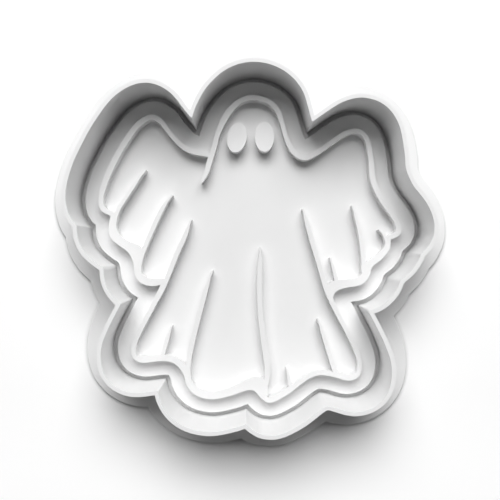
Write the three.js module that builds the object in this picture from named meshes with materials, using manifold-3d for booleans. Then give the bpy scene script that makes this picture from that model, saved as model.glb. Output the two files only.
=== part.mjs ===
// Ghost cookie cutter set: an outline cutter with a loose embossing stamp lying inside it, cutting edge up.
// Millimetres, +Z up, +Y towards the ghost's head; origin on the table at the middle of the footprint.

import * as THREE from "three";
import Module from "manifold-3d";
import { mergeVertices } from "three/addons/utils/BufferGeometryUtils.js";

const wasm = await Module();
wasm.setup();

// Driving dimensions
const ghostWidth = 66.7; // across the drawn ghost, hand to hand
const plateMargin = 3.75; // drawn outline to the edge of the stamp
const stampClearance = 0.88; // gap between stamp and cutter, all round
const wallThickness = 0.88; // two printed lines of 0.44
const flangeWidth = 5.2; // flange beyond the wall
const flangeThickness = 1;
const wallRoot = 0.5; // depth that the wall reaches into the flange
const cutterHeight = 14.5; // table to cutting edge
const plateThickness = 2;
const lineHeight = 2.8; // raised lines above the plate
const lineWidth = 1.1; // plain raised line
const lineRoot = 0.6; // depth that a raised line reaches into the plate
const tipWidth = 0.4; // narrowest that a line tapers to, one printed line
const cutThrough = 1; // reach of the bore past the faces that it cuts
const eyeWidth = 4.3;
const eyeLength = 6.7;

// Fineness of the curves
const sampleSpacing = 0.8;
const flatness = 0.012;
const arcStep = 0.12; // radians of each step round an outer corner

// The drawing, in its own grid: the outline, counterclockwise, in smooth stretches that meet at corners.
// A point is x, y and, where the raised outline swells or thins, its width as a share of the plain line's.
const drawnOutline = [
  // left arm, from the neck over the raised hand to the notch under it
  [[-8.9, 21.3, 0.95], [-13.05, 22.25], [-15.25, 23.65, 0.95], [-17.55, 26.3], [-19.6, 28.8],
    [-21.7, 29.7], [-24.7, 28.3, 1.1], [-28.1, 24, 1.15], [-30.6, 19.6, 1.15], [-32.6, 15.1, 1.15],
    [-33.5, 10.9], [-32.9, 8.5], [-30.8, 7.3]],
  // left cuff, two scallops down to the armpit
  [[-30.8, 7.3], [-31.2, 4.8], [-30.7, 2.4], [-28.7, 0.6], [-26.9, -0.8], [-25.8, -3.1], [-25.4, -5.8],
    [-24.3, -7.4], [-22.1, -8.2], [-19.8, -8]],
  // left side, the whole hem and the right side up to the right cuff's corner
  [[-19.8, -8], [-21.1, -10.7], [-23.1, -14.6, 0.95], [-25.1, -18.5, 0.95], [-26.2, -21.6, 0.9],
    [-25.8, -24.1, 0.85], [-24.1, -25.1], [-20, -24.8], [-17.6, -24.9], [-15.8, -25.8], [-14.7, -27.6],
    [-13.9, -30.3], [-12.2, -32.2], [-8.7, -33.2], [-4.4, -32.5], [-0.4, -31.2], [0.8, -31.3], [2.5, -33],
    [4.1, -34], [7.8, -32.5], [13.2, -28.6], [15.6, -27.9], [18.5, -28.3], [22, -29.1], [24.1, -28.1, 0.85],
    [24.7, -25.3, 0.85], [23.7, -21.8, 0.87], [19.1, -12.6, 0.95], [18.4, -10.8], [19.2, -9.3],
    [22.2, -8.4], [24.6, -7.9], [26.2, -6.3], [26.9, -4.2]],
  // right cuff
  [[26.9, -4.2], [28.7, -2.6], [30, -1.3], [30.9, 0.2], [31.1, 2.1]],
  // right hand and arm, the right neck and the head, back to the left neck
  [[31.1, 2.1], [32.6, 2.7], [33.5, 4.1, 1.15], [32.8, 6.6, 1.1], [29.7, 10.8, 0.94], [27.8, 15.2, 1.1],
    [27.3, 19.7], [26.4, 24.1, 0.9], [25.2, 25.9, 0.9], [23.3, 26.6, 0.9], [21.1, 26.1, 0.92], [17.2, 23.6],
    [14.3, 21.7, 1.05], [12.1, 20.8, 1.1], [10.2, 21.8, 1.1], [8.7, 24.2, 0.92], [7.4, 28.5, 0.92],
    [6.6, 30.8, 1.05], [4.4, 33], [1.1, 34], [-2.2, 33.3], [-5.1, 30.8, 1.2], [-6.6, 28.3, 1.2], [-7.5, 26],
    [-8.9, 21.3, 0.95]],
];

// Raised lines inside the outline: x, y and the width there as a share of the plain line's width
const drawnLines = {
  neckTail: [[-7.1, 25.8, 0.5], [-7.4, 24.5, 0.85], [-7.75, 23, 0.98], [-8.3, 21.3, 1.05],
    [-8.85, 19.6, 1.1], [-9.45, 17.5, 1.05], [-9.95, 16.3, 0.9], [-10.35, 15.4, 0.65], [-10.6, 14.8, 0.2]],
  leftArmFold: [[-23.2, 17.4, 0], [-24.9, 15.1, 0.55], [-27.6, 11.1, 0.75], [-29.1, 8.8, 0.85],
    [-29.9, 6.7, 1], [-30.1, 4.6, 1.1], [-29.2, 2.4, 1.4], [-27, 0.7, 1.8], [-25, -0.7, 2.4],
    [-24.8, -3.4, 1]],
  leftSleeveFold: [[-17.3, 11.8, 0], [-18.9, 9.7, 0.75], [-20.5, 6.6, 0.9], [-23.8, -1.1, 0.9],
    [-24.6, -3.9, 1.1], [-24.4, -5.7, 1.1], [-23.3, -6.8, 1.25], [-21.7, -7.3, 1.35], [-19.5, -7.1, 1.2]],
  leftBodyFold: [[-13.1, 6.4, 0], [-14.1, 3.5, 0.8], [-15.8, -0.3, 0.9], [-19.5, -9.1, 0.95],
    [-21.8, -13.2, 0.85]],
  leftHemFold: [[-17.4, -17.2, 0], [-18, -19, 0.6], [-18.6, -21.1, 0.75], [-19.5, -23.9, 0.8]],
  leftHem: [[-24.4, -24.3, 0.9], [-22, -24.2, 1.15], [-19.2, -24.1, 1.2], [-16.8, -24.5, 1.3],
    [-14.9, -26, 1.35], [-13.8, -28.3, 1]],
  longLeftFold: [[-8.4, -4.9, 0], [-9.4, -8, 0.7], [-10.9, -13.4, 0.9], [-12.4, -19.3, 0.9],
    [-13.5, -24.6, 0.95], [-13.7, -27.5, 1], [-13.3, -29.5, 1], [-12, -31, 1.1], [-10.3, -31.8, 1.2],
    [-8.4, -32.3, 1.4], [-5.3, -31.8, 1.6], [-2.2, -30.7, 1.7], [0.3, -29.75, 2.35], [2.1, -30, 2.8],
    [3.3, -31.8, 1.5]],
  centreFold: [[2.3, 0.3, 0], [2.2, -2.9, 0.85], [2.1, -8, 1], [2.3, -14, 1.05], [3, -20.2, 1.1],
    [3.8, -25.7, 1.1], [3.75, -28.8, 0.95], [3.3, -31, 0.7],
    [2.9, -32.6, 0.4]],
  hemTick: [[8.1, -26.5, 0], [8.4, -27.8, 0.5], [8.75, -29.3, 0.8], [9.1, -31, 1]],
  rightHem: [[4.4, -33.3, 1], [6, -32.7, 1.2], [8.9, -30.9, 1]],
  rightHemFold: [[15.1, -15.7, 0], [15.9, -18.1, 0.6], [17, -21.5, 0.8], [19, -27.6, 1]],
  farRightHem: [[18.6, -27.6, 0.9], [20.2, -28, 1.1], [22, -28.3, 1.05], [23.1, -27.9, 0.8]],
  rightBodyFold: [[11.7, 8.8, 0], [12.4, 6.3, 0.75], [13.6, 2.1, 0.9], [15.5, -4.2, 0.95], [17.1, -9.4, 1],
    [18.8, -13.3, 0.9]],
  armpitTick: [[17.8, -2.1, 0], [18.2, -3.6, 0.5], [18.7, -5.3, 0.7], [19.3, -7.6, 0.9]],
  rightCuffLower: [[17.5, -9.2, 1.3], [18.5, -8.1, 1.8], [20.4, -7.6, 1.5], [22.6, -7.5, 1.6],
    [24.6, -6.8, 1.5], [25.7, -5, 1.2]],
  rightSleeveFold: [[22.7, 9.5, 0], [23.4, 7, 0.6], [24.2, 4, 0.75], [25, -1.9, 0.85], [25.3, -5.2, 1.1]],
  handTick: [[28.6, 4.2, 0], [29.35, 3.45, 0.45], [30.1, 2.3, 0.8], [30.35, 0.9, 0.95], [29.6, -0.7, 1.2],
    [28.1, -2.1, 1.4], [25.9, -3.6, 1.4]],
};
// Middle of each eye, and how far its top leans to +X in radians
const drawnEyes = [[-2.87, 24.62, 0.2], [3.2, 24.8, 0]];

// Curve through x, y, share triples, sampled evenly
function sampleCurve(points, spacing) {
  const knots = points.map(([x, y, share]) => new THREE.Vector3(x, y, share ?? 1));
  const curve = new THREE.CatmullRomCurve3(knots, false, "centripetal");
  const steps = Math.max(2, Math.ceil(curve.getLength() / spacing));
  return curve.getSpacedPoints(steps);
}

const distanceToSegment = (point, a, b) => {
  const along = b.clone().sub(a);
  const t = THREE.MathUtils.clamp(point.clone().sub(a).dot(along) / along.lengthSq(), 0, 1);
  return point.distanceTo(a.clone().addScaledVector(along, t));
};

// Drop points that lie within the tolerance of the line between their kept neighbours
function thinOut(points, tolerance) {
  const last = points.length - 1;
  let worst = 0;
  let at = 0;
  for (let i = 1; i < last; i += 1) {
    const gap = distanceToSegment(points[i], points[0], points[last]);
    if (gap > worst) {
      worst = gap;
      at = i;
    }
  }
  if (worst <= tolerance) return [points[0], points[last]];
  const before = thinOut(points.slice(0, at + 1), tolerance);
  const after = thinOut(points.slice(at), tolerance);
  return [...before.slice(0, -1), ...after];
}

function thinOutLoop(loop, tolerance) {
  const half = Math.floor(loop.length / 2);
  const first = thinOut(loop.slice(0, half + 1), tolerance);
  const second = thinOut([...loop.slice(half), loop[0]], tolerance);
  return [...first.slice(0, -1), ...second.slice(0, -1)];
}

// Crossing of segments a-b and c-d as shares along each, or null
function crossing(a, b, c, d) {
  const r = b.clone().sub(a);
  const s = d.clone().sub(c);
  const turn = r.cross(s);
  if (Math.abs(turn) < 1e-12) return null;
  const gap = c.clone().sub(a);
  const t = gap.cross(s) / turn;
  const u = gap.cross(r) / turn;
  return t > 0 && t < 1 && u > 0 && u < 1 ? { t, u } : null;
}

// Raw parallel of a counterclockwise loop, outwards for a positive distance, which may change along the loop;
// inner corners still cross themselves
function rawParallel(loop, distanceAt) {
  const count = loop.length;
  const chords = loop.map((point, i) => loop[(i + 1) % count].clone().sub(point));
  const normals = chords.map((chord) => new THREE.Vector2(chord.y, -chord.x).normalize());
  return loop.flatMap((point, i) => {
    const last = (i + count - 1) % count;
    const before = normals[last];
    const after = normals[i];
    const turn = Math.atan2(before.cross(after), before.dot(after));
    const distance = distanceAt(i);
    const opens = turn * distance > 0;
    const room = Math.min(chords[last].length(), chords[i].length());
    const setBack = Math.abs(distance * Math.tan(turn / 2)); // of an inner mitre, along both neighbours
    if (opens ? Math.abs(turn) < arcStep : setBack < room) {
      const middle = before.clone().add(after).normalize();
      return [point.clone().addScaledVector(middle, distance / Math.cos(turn / 2))];
    }
    const steps = opens ? Math.ceil(Math.abs(turn) / arcStep) : 1;
    return Array.from({ length: steps + 1 }, (_, k) => {
      const normal = before.clone().rotateAround(new THREE.Vector2(), (turn * k) / steps);
      return point.clone().addScaledVector(normal, distance);
    });
  });
}

// Parallel of a loop with its crossed-over inner corners trimmed to points. It starts from the point farthest
// out, where nothing crosses, and changes over to the other line at every crossing.
function parallel(loop, distanceAt) {
  const raw = rawParallel(loop, distanceAt);
  const count = raw.length;
  const farOut = raw.map((point) => point.length());
  const start = farOut.indexOf(Math.max(...farOut));
  const kept = [raw[start]];
  let segment = start;
  let from = 0;
  for (let guard = 0; guard < 2 * count; guard += 1) {
    const a = raw[segment];
    const b = raw[(segment + 1) % count];
    let next = null;
    for (let j = 0; j < count; j += 1) {
      const hit = j === segment ? null : crossing(a, b, raw[j], raw[(j + 1) % count]);
      if (hit && hit.t > from + 1e-9 && (!next || hit.t < next.t)) next = { ...hit, segment: j };
    }
    if (next) {
      kept.push(a.clone().lerp(b, next.t));
      segment = next.segment;
      from = next.u;
    } else {
      segment = (segment + 1) % count;
      from = 0;
      if (segment === start) break;
      kept.push(b);
    }
  }
  return thinOutLoop(kept, flatness);
}

// A line of changing width as a closed loop with round ends
function strokeLoop(points, scale) {
  const samples = sampleCurve(points, sampleSpacing / scale);
  const middle = samples.map((p) => new THREE.Vector2(p.x * scale, p.y * scale));
  const half = samples.map((p) => Math.max(p.z * lineWidth, tipWidth) / 2);
  const last = middle.length - 1;
  const heading = middle.map((_, i) => {
    const ahead = middle[Math.min(i + 1, last)];
    const behind = middle[Math.max(i - 1, 0)];
    return ahead.clone().sub(behind).angle();
  });
  const side = (i, turn) => {
    const angle = heading[i] + turn;
    return new THREE.Vector2(Math.cos(angle), Math.sin(angle)).multiplyScalar(half[i]).add(middle[i]);
  };
  const right = middle.map((_, i) => side(i, -Math.PI / 2));
  const left = middle.map((_, i) => side(i, Math.PI / 2)).reverse();
  const roundEnd = (i, first) => [1, 2, 3].map((k) => side(i, first + (k * Math.PI) / 4));
  return [...right, ...roundEnd(last, -Math.PI / 2), ...left, ...roundEnd(0, Math.PI / 2)];
}

function ellipseLoop([x, y], width, length, tilt) {
  const curve = new THREE.EllipseCurve(x, y, width / 2, length / 2, 0, 2 * Math.PI, false, -tilt);
  return curve.getPoints(36).slice(0, -1);
}

// Closed solid between two heights, with an optional hole
function slab(loop, bottom, top, hole) {
  const shape = new THREE.Shape(loop);
  if (hole) shape.holes.push(new THREE.Path(hole));
  const settings = { depth: top - bottom, bevelEnabled: false, curveSegments: 1 };
  const extruded = new THREE.ExtrudeGeometry(shape, settings);
  extruded.translate(0, 0, bottom);
  extruded.deleteAttribute("normal");
  extruded.deleteAttribute("uv");
  const welded = mergeVertices(extruded, 1e-5);
  const body = new wasm.Mesh({
    numProp: 3,
    vertProperties: new Float32Array(welded.attributes.position.array),
    triVerts: new Uint32Array(welded.index.array),
  });
  body.merge();
  return new wasm.Manifold(body);
}

function meshOf(solid, name, colour, roughness) {
  const result = solid.getMesh();
  const geometry = new THREE.BufferGeometry();
  geometry.setAttribute("position", new THREE.BufferAttribute(new Float32Array(result.vertProperties), 3));
  geometry.setIndex(new THREE.BufferAttribute(new Uint32Array(result.triVerts), 1));
  geometry.computeVertexNormals();
  const material = new THREE.MeshStandardMaterial({ color: colour, roughness, metalness: 0 });
  const mesh = new THREE.Mesh(geometry, material);
  mesh.name = name;
  return mesh;
}

// The drawing brought to size and centred on its own outline
const drawnLoop = drawnOutline.flatMap((stretch) => sampleCurve(stretch, sampleSpacing).slice(0, -1));
const drawnBox = new THREE.Box3().setFromPoints(drawnLoop);
const scale = ghostWidth / (drawnBox.max.x - drawnBox.min.x);
const middle = drawnBox.getCenter(new THREE.Vector3());
const place = ([x, y, ...rest]) => [x - middle.x, y - middle.y, ...rest];
const ghost = drawnLoop.map((p) => new THREE.Vector2(p.x - middle.x, p.y - middle.y).multiplyScalar(scale));
const outlineShare = drawnLoop.map((p) => p.z);

// The raised outline's inner edge, then the outlines from the drawn line outwards
const outlineInside = parallel(ghost, (i) => -lineWidth * outlineShare[i]);
const plateEdge = parallel(ghost, () => plateMargin);
const bore = parallel(ghost, () => plateMargin + stampClearance);
const wallOutside = parallel(ghost, () => plateMargin + stampClearance + wallThickness);
const flangeEdge = parallel(ghost, () => plateMargin + stampClearance + wallThickness + flangeWidth);

// Cutter: the flange and the wall standing in it, with the bore cut through both
const cutter = slab(flangeEdge, 0, flangeThickness)
  .add(slab(wallOutside, flangeThickness - wallRoot, cutterHeight))
  .subtract(slab(bore, -cutThrough, cutterHeight + cutThrough));

// Stamp: the plate with the outline, the folds and hems, and the eyes standing on it
const lineFoot = plateThickness - lineRoot;
const lineTop = plateThickness + lineHeight;
const raised = [
  slab(thinOutLoop(ghost, flatness), lineFoot, lineTop, outlineInside),
  ...Object.values(drawnLines).map((line) =>
    slab(thinOutLoop(strokeLoop(line.map(place), scale), flatness), lineFoot, lineTop)),
  ...drawnEyes.map((eye) => {
    const [x, y, lean] = place(eye);
    return slab(ellipseLoop([x * scale, y * scale], eyeWidth, eyeLength, lean), lineFoot, lineTop);
  }),
];
const stamp = raised.reduce((sum, piece) => sum.add(piece), slab(plateEdge, 0, plateThickness));

const group = new THREE.Group();
group.name = "ghost_cookie_cutter";
group.add(meshOf(cutter, "cutter_frame", 0xf2f2f0, 0.55));
group.add(meshOf(stamp, "stamp_plate", 0xf2f2f0, 0.6));

export default group;
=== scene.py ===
"""Ghost cookie cutter with its loose embossing stamp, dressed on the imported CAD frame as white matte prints.

Units are metres in the CAD's own frame; sizes written in millimetres are multiplied by MM.
"""

import math

import bpy
import numpy as np
from mathutils.geometry import delaunay_2d_cdt
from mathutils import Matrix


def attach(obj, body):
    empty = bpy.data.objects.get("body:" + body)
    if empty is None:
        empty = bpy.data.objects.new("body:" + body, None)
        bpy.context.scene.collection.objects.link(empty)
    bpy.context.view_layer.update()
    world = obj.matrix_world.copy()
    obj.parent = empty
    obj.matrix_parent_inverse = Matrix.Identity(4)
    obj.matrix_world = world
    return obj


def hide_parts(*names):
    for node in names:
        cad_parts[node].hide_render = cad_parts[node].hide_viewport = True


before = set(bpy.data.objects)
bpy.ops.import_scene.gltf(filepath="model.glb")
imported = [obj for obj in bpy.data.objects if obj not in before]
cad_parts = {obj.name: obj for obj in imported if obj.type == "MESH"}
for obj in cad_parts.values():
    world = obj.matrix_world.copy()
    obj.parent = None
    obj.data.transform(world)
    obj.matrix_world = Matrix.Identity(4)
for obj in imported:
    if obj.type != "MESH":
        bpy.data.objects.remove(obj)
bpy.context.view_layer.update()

MM = 0.001
STATION = 0.28 * MM  # spacing of the points along an outline
CREASE = math.radians(38)  # an outline's sharper turns stay corners
EDGE_ROUND = 0.04 * MM  # cutting edge and raised lines, crisp
PLATE_ROUND = 0.2 * MM
PLATE_DRAFT = 0.17 * MM  # the plate's first layers spread a little, so its top is this much smaller all round
FLANGE_ROUND = 0.3 * MM
FOOT_ROUND = 0.2 * MM  # lower edges, on the table
WALL_FILLET = 0.15 * MM  # inside corner where the wall leaves the flange
ROUND_STEPS = 5


# Outlines from the frame

def mesh_arrays(node):
    """Vertex places and triangle corners of a CAD node, as whole arrays."""
    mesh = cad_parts[node].data
    places = np.empty(3 * len(mesh.vertices))
    corners = np.empty(len(mesh.loops), int)
    mesh.vertices.foreach_get("co", places)
    mesh.loops.foreach_get("vertex_index", corners)
    return places.reshape(-1, 3), corners.reshape(-1, 3)


def levels(node):
    """Heights of a CAD node's level faces, lowest first."""
    places, corners = mesh_arrays(node)
    heights = places[corners][:, :, 2]
    return np.unique(np.round(heights[np.ptp(heights, axis=1) < 1e-7, 0], 6))


def level_outlines(node, height):
    """Closed outlines round a CAD node's upward faces at a height, longest way round first, material on the left.

    Welded edges with no twin running back bound the faces. The step from each such edge to the next is a
    permutation; taking it 1, 2, 4, 8... times at once gives each point its outline and its place along it.
    """
    places, corners = mesh_arrays(node)
    _, first, weld = np.unique(np.round(places[:, :2] * 1e7), axis=0, return_index=True, return_inverse=True)
    corner_places = places[corners]
    level = np.all(np.abs(corner_places[:, :, 2] - height) < 1e-6, axis=1)
    span = corner_places[:, 1:, :2] - corner_places[:, :1, :2]
    upward = span[:, 0, 0] * span[:, 1, 1] - span[:, 0, 1] * span[:, 1, 0] > 0
    faces = weld.ravel()[corners[level & upward]]
    start, end = faces.ravel(), np.roll(faces, -1, axis=1).ravel()
    alone = ~np.isin(start * len(first) + end, end * len(first) + start)
    start, end = start[alone], end[alone]
    order = np.argsort(start)
    start, step = start[order], np.searchsorted(start[order], end[order])

    label, jump = np.arange(len(start)), step.copy()
    doublings = range(int(math.log2(len(start))) + 2)
    for _ in doublings:
        label, jump = np.minimum(label, label[jump]), jump[jump]
    is_last = step == label
    to_end, jump = np.where(is_last, 0, 1), np.where(is_last, np.arange(len(start)), step)
    for _ in doublings:
        to_end, jump = to_end + to_end[jump], jump[jump]
    along = np.lexsort((-to_end, label))
    cuts = np.flatnonzero(np.diff(label[along])) + 1
    outlines = np.split(places[first[start[along]], :2], cuts)
    return sorted(outlines, key=lambda p: -np.ptp(p, axis=0).sum())


def unit(vectors):
    """Vectors of length 1."""
    return vectors / np.linalg.norm(vectors, axis=-1, keepdims=True)


def smooth_outline(points, reach):
    """Outline drawn finely as cubic Hermite pieces through its points.

    A point's tangent is its two chords' directions, each weighted by the other chord's length; at a crease each
    side keeps its own chord's direction. Every chord is cut into equal steps of about STATION. Points so near a
    crease that a profile reaching sideways would cross over itself there are left out: nearer than the reach
    times the tangent of half the turn.
    """
    chord = np.roll(points, -1, axis=0) - points
    length = np.linalg.norm(chord, axis=1, keepdims=True)
    ahead = chord / length
    behind = np.roll(ahead, 1, axis=0)
    tangent = unit(behind * length + ahead * np.roll(length, 1, axis=0))
    turn = np.arccos(np.clip(np.sum(behind * ahead, axis=1, keepdims=True), -1, 1))
    crease = turn > CREASE
    leave = np.where(crease, ahead, tangent) * length
    arrive = np.roll(np.where(crease, behind, tangent), -1, axis=0) * length

    steps = np.maximum(1, np.round(length[:, 0] / STATION)).astype(int)
    piece = np.repeat(np.arange(len(points)), steps)
    t = ((np.arange(len(piece)) - (np.cumsum(steps) - steps)[piece]) / steps[piece])[:, None]
    outline = ((2 * t**3 - 3 * t**2 + 1) * points[piece] + (t**3 - 2 * t**2 + t) * leave[piece]
               + (3 * t**2 - 2 * t**3) * np.roll(points, -1, axis=0)[piece] + (t**3 - t**2) * arrive[piece])

    corners = points[crease[:, 0]]
    apart = np.linalg.norm(outline[:, None] - corners[None], axis=2)
    crowded = (apart > 1e-9) & (apart < 1.3 * reach * np.tan(turn[crease] / 2))
    return outline[~np.any(crowded, axis=1)]


def outward(outline):
    """Mitred step out of the material at each point: the vector one unit outside both of its chords."""
    right = unit(np.roll(outline, -1, axis=0) - outline) @ np.array([[0, -1], [1, 0]])
    before = np.roll(right, 1, axis=0)
    return (before + right) / np.maximum(0.4, 1 + np.sum(before * right, axis=1, keepdims=True))


# Profiles: rows of step outwards, height, and the surface's lean outwards and upwards

def arc(centre_out, centre_z, radius, start, end, hollow=False):
    """Quarter-round rows about a centre, from angle start to end; a hollow one faces its own centre."""
    angle = np.radians(np.linspace(start, end, ROUND_STEPS))
    lean = np.stack([np.cos(angle), np.sin(angle)], axis=1)
    places = np.array([centre_out, centre_z]) + radius * lean
    return np.hstack([places, -lean if hollow else lean])


def upper_edge(height, radius, inset=0):
    """From an upright side, drawn in by the inset, round to the level face at a height."""
    return arc(-inset - radius, height - radius, radius, 0, 90)


def lower_edge(height, radius):
    """From the level face underneath, at a height, round to an upright side."""
    return arc(-radius, height + radius, radius, -90, 0)


def inside_corner(height, radius):
    """From a level face at a height, up through a hollow quarter round to an upright side."""
    return arc(radius, height + radius, radius, 270, 180, hollow=True)


class Shell:
    """A closed surface put together from strips carried along outlines and level faces between them."""

    def __init__(self):
        self.places, self.leans, self.quads, self.triangles, self.facing = [], [], [], [], []
        self.count = 0

    def strip(self, outline, profile):
        """Profile carried along a closed outline: row j at station i is the outline's point i moved outwards by
        the profile's j-th step and lifted to its j-th height. Returns the lowest and the highest ring."""
        out = outward(outline)
        rows, stations = len(profile), len(outline)
        flat = outline[None] + profile[:, 0, None, None] * out[None]
        height = np.broadcast_to(profile[:, 1, None, None], (rows, stations, 1))
        lean = np.concatenate([profile[:, 2, None, None] * unit(out)[None],
                               np.broadcast_to(profile[:, 3, None, None], (rows, stations, 1))], axis=2)
        grid = self.count + np.arange(rows * stations).reshape(rows, stations)
        beside = np.roll(grid, -1, axis=1)
        self.places.append(np.concatenate([flat, height], axis=2).reshape(-1, 3))
        self.leans.append(lean.reshape(-1, 3))
        self.quads.append(np.stack([grid[:-1], beside[:-1], beside[1:], grid[1:]], axis=-1).reshape(-1, 4))
        self.count += rows * stations
        return grid[0], grid[-1]

    def level(self, rings, upward=True):
        """Level face between rings: the constrained Delaunay triangles that lie inside an odd number of them."""
        index = np.concatenate(rings)
        flat = np.concatenate(self.places)[index, :2] / MM
        first = np.cumsum([0] + [len(ring) for ring in rings])
        loops = [list(range(a, b)) for a, b in zip(first, first[1:])]
        inside_with_holes = 2
        _, _, filled, origin, _, _ = delaunay_2d_cdt(flat.tolist(), [], loops, inside_with_holes, 1e-7)
        back = np.array([sources[0] for sources in origin])
        triangles = index[back[np.array(filled)]]
        self.triangles.append(triangles if upward else triangles[:, ::-1])
        self.facing.append(np.tile([0, 0, 1 if upward else -1], (3 * len(triangles), 1)))

    def piece(self, name, material):
        """Mesh object at the origin; strips are shaded by their profiles' leans, level faces as level."""
        mesh = bpy.data.meshes.new(name)
        quads = np.concatenate(self.quads)
        faces = quads.tolist() + np.concatenate(self.triangles).tolist()
        mesh.from_pydata(np.concatenate(self.places).tolist(), [], faces)
        mesh.polygons.foreach_set("use_smooth", np.ones(len(mesh.polygons), bool))
        strip_normals = unit(np.concatenate(self.leans))[quads.ravel()]
        mesh.normals_split_custom_set(np.concatenate([strip_normals] + self.facing).tolist())
        mesh.materials.append(material)
        piece = bpy.data.objects.new(name, mesh)
        bpy.context.scene.collection.objects.link(piece)
        return piece


# Materials

def linear(hex_colour):
    """sRGB hex to linear RGBA."""
    channels = np.array([int(hex_colour[i:i + 2], 16) for i in (1, 3, 5)]) / 255
    return (*np.where(channels <= 0.04045, channels / 12.92, ((channels + 0.055) / 1.055) ** 2.4), 1.0)


def add(tree, kind, settings=(), **links):
    """New node with its properties or input values set, and inputs linked from other nodes' outputs."""
    node = tree.nodes.new("ShaderNode" + kind)
    for key, value in dict(settings).items():
        if key in node.inputs:
            node.inputs[key].default_value = value
        else:
            setattr(node, key, value)
    for key, source in links.items():
        tree.links.new(source, node.inputs[key.replace("_", " ")])
    return node


def ramp(tree, factor, low, high, start=0.0, end=1.0):
    """Colour that runs from low to high as the factor goes from start to end."""
    node = add(tree, "ValToRGB", Fac=factor)
    first, last = node.color_ramp.elements
    first.position, first.color = start, linear(low)
    last.position, last.color = end, linear(high)
    return node.outputs["Color"]


def printed_pla(name):
    """Matte PLA laid down in thin layers: dull white, faintly stepped up its walls, with a fine dry grain."""
    material = bpy.data.materials.new(name)
    material.use_nodes = True
    tree = material.node_tree
    tree.nodes.clear()
    place = add(tree, "TexCoord").outputs["Object"]
    wave_period = 2 * math.pi / 20
    layer = add(tree, "TexWave", {"wave_type": "BANDS", "bands_direction": "Z", "Scale": wave_period / (0.4 * MM)},
                Vector=place)
    grain = add(tree, "TexNoise", {"Scale": 1 / (0.35 * MM), "Detail": 2.0}, Vector=place)
    cloud = add(tree, "TexNoise", {"Scale": 1 / (9 * MM), "Detail": 1.0}, Vector=place)
    steps = add(tree, "Bump", {"Strength": 0.12, "Distance": 0.04 * MM}, Height=layer.outputs["Fac"])
    dry = add(tree, "Bump", {"Strength": 0.1, "Distance": 0.03 * MM}, Height=grain.outputs["Fac"],
              Normal=steps.outputs["Normal"])
    white = ramp(tree, cloud.outputs["Fac"], "#E4E4E4", "#E6E6E6", 0.3, 0.7)
    rough = add(tree, "MapRange", {"To Min": 0.52, "To Max": 0.66}, Value=grain.outputs["Fac"])
    surface = add(tree, "BsdfPrincipled", {"IOR": 1.46, "Specular IOR Level": 0.35},
                  Base_Color=white, Roughness=rough.outputs["Result"], Normal=dry.outputs["Normal"])
    add(tree, "OutputMaterial", Surface=surface.outputs["BSDF"])
    return material


cutter_pla = printed_pla("white matte PLA, cutter")
stamp_pla = printed_pla("white matte PLA, stamp")


# Cutter: flange edge, wall outside and wall inside, each a profile carried along its outline

table, flange_top, rim = levels("cutter_frame")
wall_outline, bore_outline = (smooth_outline(p, FOOT_ROUND) for p in level_outlines("cutter_frame", rim))
flange_outline = smooth_outline(level_outlines("cutter_frame", flange_top)[0], FLANGE_ROUND)

cutter = Shell()
flange_low, flange_high = cutter.strip(
    flange_outline, np.vstack([lower_edge(table, FOOT_ROUND), upper_edge(flange_top, FLANGE_ROUND)]))
wall_low, wall_high = cutter.strip(
    wall_outline, np.vstack([inside_corner(flange_top, WALL_FILLET), upper_edge(rim, EDGE_ROUND)]))
bore_low, bore_high = cutter.strip(
    bore_outline, np.vstack([lower_edge(table, FOOT_ROUND), upper_edge(rim, EDGE_ROUND)]))
cutter.level([flange_high, wall_low])
cutter.level([wall_high, bore_high])
cutter.level([flange_low, bore_low], upward=False)
cutter_piece = cutter.piece("cutter_print", cutter_pla)
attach(cutter_piece, "cutter")
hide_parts("cutter_frame")


# Stamp: plate edge, and every outline of the raised lines carried up from the plate

plate_bottom, plate_top, line_top = levels("stamp_plate")
stamp = Shell()
plate_outline = smooth_outline(level_outlines("stamp_plate", plate_top)[0], PLATE_DRAFT + PLATE_ROUND)
plate_low, plate_high = stamp.strip(
    plate_outline,
    np.vstack([lower_edge(plate_bottom, FOOT_ROUND), upper_edge(plate_top, PLATE_ROUND, PLATE_DRAFT)]))
line_foot = np.array([[0, plate_top, 1, 0]])
line_profile = np.vstack([line_foot, upper_edge(line_top, EDGE_ROUND)])
lines = [stamp.strip(smooth_outline(p, EDGE_ROUND), line_profile) for p in level_outlines("stamp_plate", line_top)]
stamp.level([high for _, high in lines])
stamp.level([plate_high] + [low for low, _ in lines])
stamp.level([plate_low], upward=False)
stamp_piece = stamp.piece("stamp_print", stamp_pla)
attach(stamp_piece, "stamp")
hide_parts("stamp_plate")


# Table, light and camera

def seen_directly(tree):
    """1 where the camera looks, straight or through a reflection or glass, and 0 for light on its way to a surface."""
    path = add(tree, "LightPath").outputs
    mirrored = add(tree, "Math", {"operation": "MAXIMUM"})
    tree.links.new(path["Is Camera Ray"], mirrored.inputs[0])
    tree.links.new(path["Is Glossy Ray"], mirrored.inputs[1])
    either = add(tree, "Math", {"operation": "MAXIMUM"})
    tree.links.new(mirrored.outputs["Value"], either.inputs[0])
    tree.links.new(path["Is Transmission Ray"], either.inputs[1])
    return either.outputs["Value"]


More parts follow.
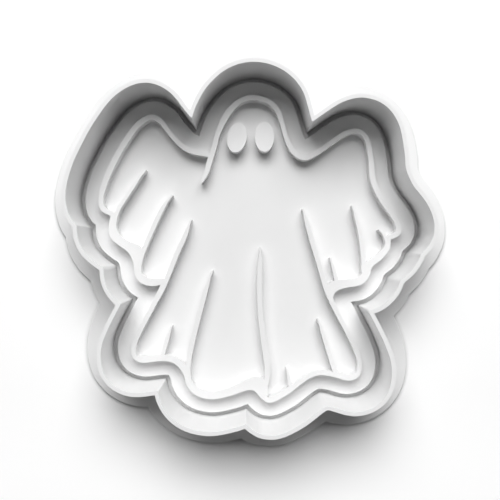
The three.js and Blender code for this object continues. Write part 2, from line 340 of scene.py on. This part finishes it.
def paper_floor():
    """White paper to the eye, with painted contact shade: its colour darkens within a millimetre of what stands on it;
    the light that it throws back at the object is held down."""
    material = bpy.data.materials.new("white paper table")
    material.use_nodes = True
    tree = material.node_tree
    tree.nodes.clear()
    painted_contact_shade = add(tree, "AmbientOcclusion", {"Distance": 1 * MM})
    # painted shade: ambient occlusion darkens the paper's colour next to the object, standing in for a contact shadow
    paper = add(tree, "BsdfDiffuse", Color=ramp(tree, painted_contact_shade.outputs["AO"], "#BEBEBE", "#FFFFFF"))
    bounce = add(tree, "BsdfDiffuse", {"Color": linear("#9A9A9A")})
    surface = add(tree, "MixShader", Fac=seen_directly(tree))
    tree.links.new(bounce.outputs["BSDF"], surface.inputs[1])
    tree.links.new(paper.outputs["BSDF"], surface.inputs[2])
    add(tree, "OutputMaterial", Surface=surface.outputs["Shader"])
    return material


half, below = 0.5, table - 0.02 * MM
mesh = bpy.data.meshes.new("table")
mesh.from_pydata([(-half, -half, below), (half, -half, below), (half, half, below), (-half, half, below)], [],
                 [(0, 1, 2, 3)])
mesh.materials.append(paper_floor())
floor = bpy.data.objects.new("table", mesh)
bpy.context.scene.collection.objects.link(floor)


def soft_box(name, azimuth, elevation, wide, high, level):
    """Flat lamp that faces the object: azimuth from +Y towards +X, sizes as angles seen from the object. The level is
    what it gives a surface there that faces it, 1 being the brightness that shows white paper white."""
    distance = 2.0
    lamp = bpy.data.lights.new(name, "AREA")
    lamp.shape = "RECTANGLE"
    lamp.size = 2 * distance * math.tan(math.radians(wide / 2))
    lamp.size_y = 2 * distance * math.tan(math.radians(high / 2))
    lamp.energy = level * (math.pi * distance) ** 2
    box = bpy.data.objects.new(name, lamp)
    turn, lift = math.radians(azimuth), math.radians(elevation)
    box.location = (distance * math.cos(lift) * math.sin(turn), distance * math.cos(lift) * math.cos(turn),
                    distance * math.sin(lift))
    box.rotation_euler = (lift - math.pi / 2, 0, -turn)
    bpy.context.scene.collection.objects.link(box)


soft_box("soft box behind, low", 0, 40, 54, 18, 0.65)
soft_box("soft box behind, high", 0, 58, 54, 21, 0.60)
soft_box("soft box behind, middle", 0, 50, 20, 38, 0.22)
soft_box("soft box left", -90, 10, 18, 10, 0.18)
soft_box("soft box right", 90, 10, 18, 10, 0.18)
soft_box("soft box in front", 180, 60, 60, 20, 0.035)

world = bpy.data.worlds.new("studio")
world.use_nodes = True
background = world.node_tree.nodes["Background"]
background.inputs["Color"].default_value = linear("#FFFFFF")
world.node_tree.links.new(seen_directly(world.node_tree), background.inputs["Strength"])
bpy.context.scene.world = world

camera = bpy.data.cameras.new("camera")
camera.sensor_width, camera.lens = 36, 50
view = bpy.data.objects.new("camera", camera)
view.location = (0, -0.25 * MM, rim + 143 * MM)
bpy.context.scene.collection.objects.link(view)
bpy.context.scene.camera = view
bpy.context.scene.view_settings.view_transform = "Standard"
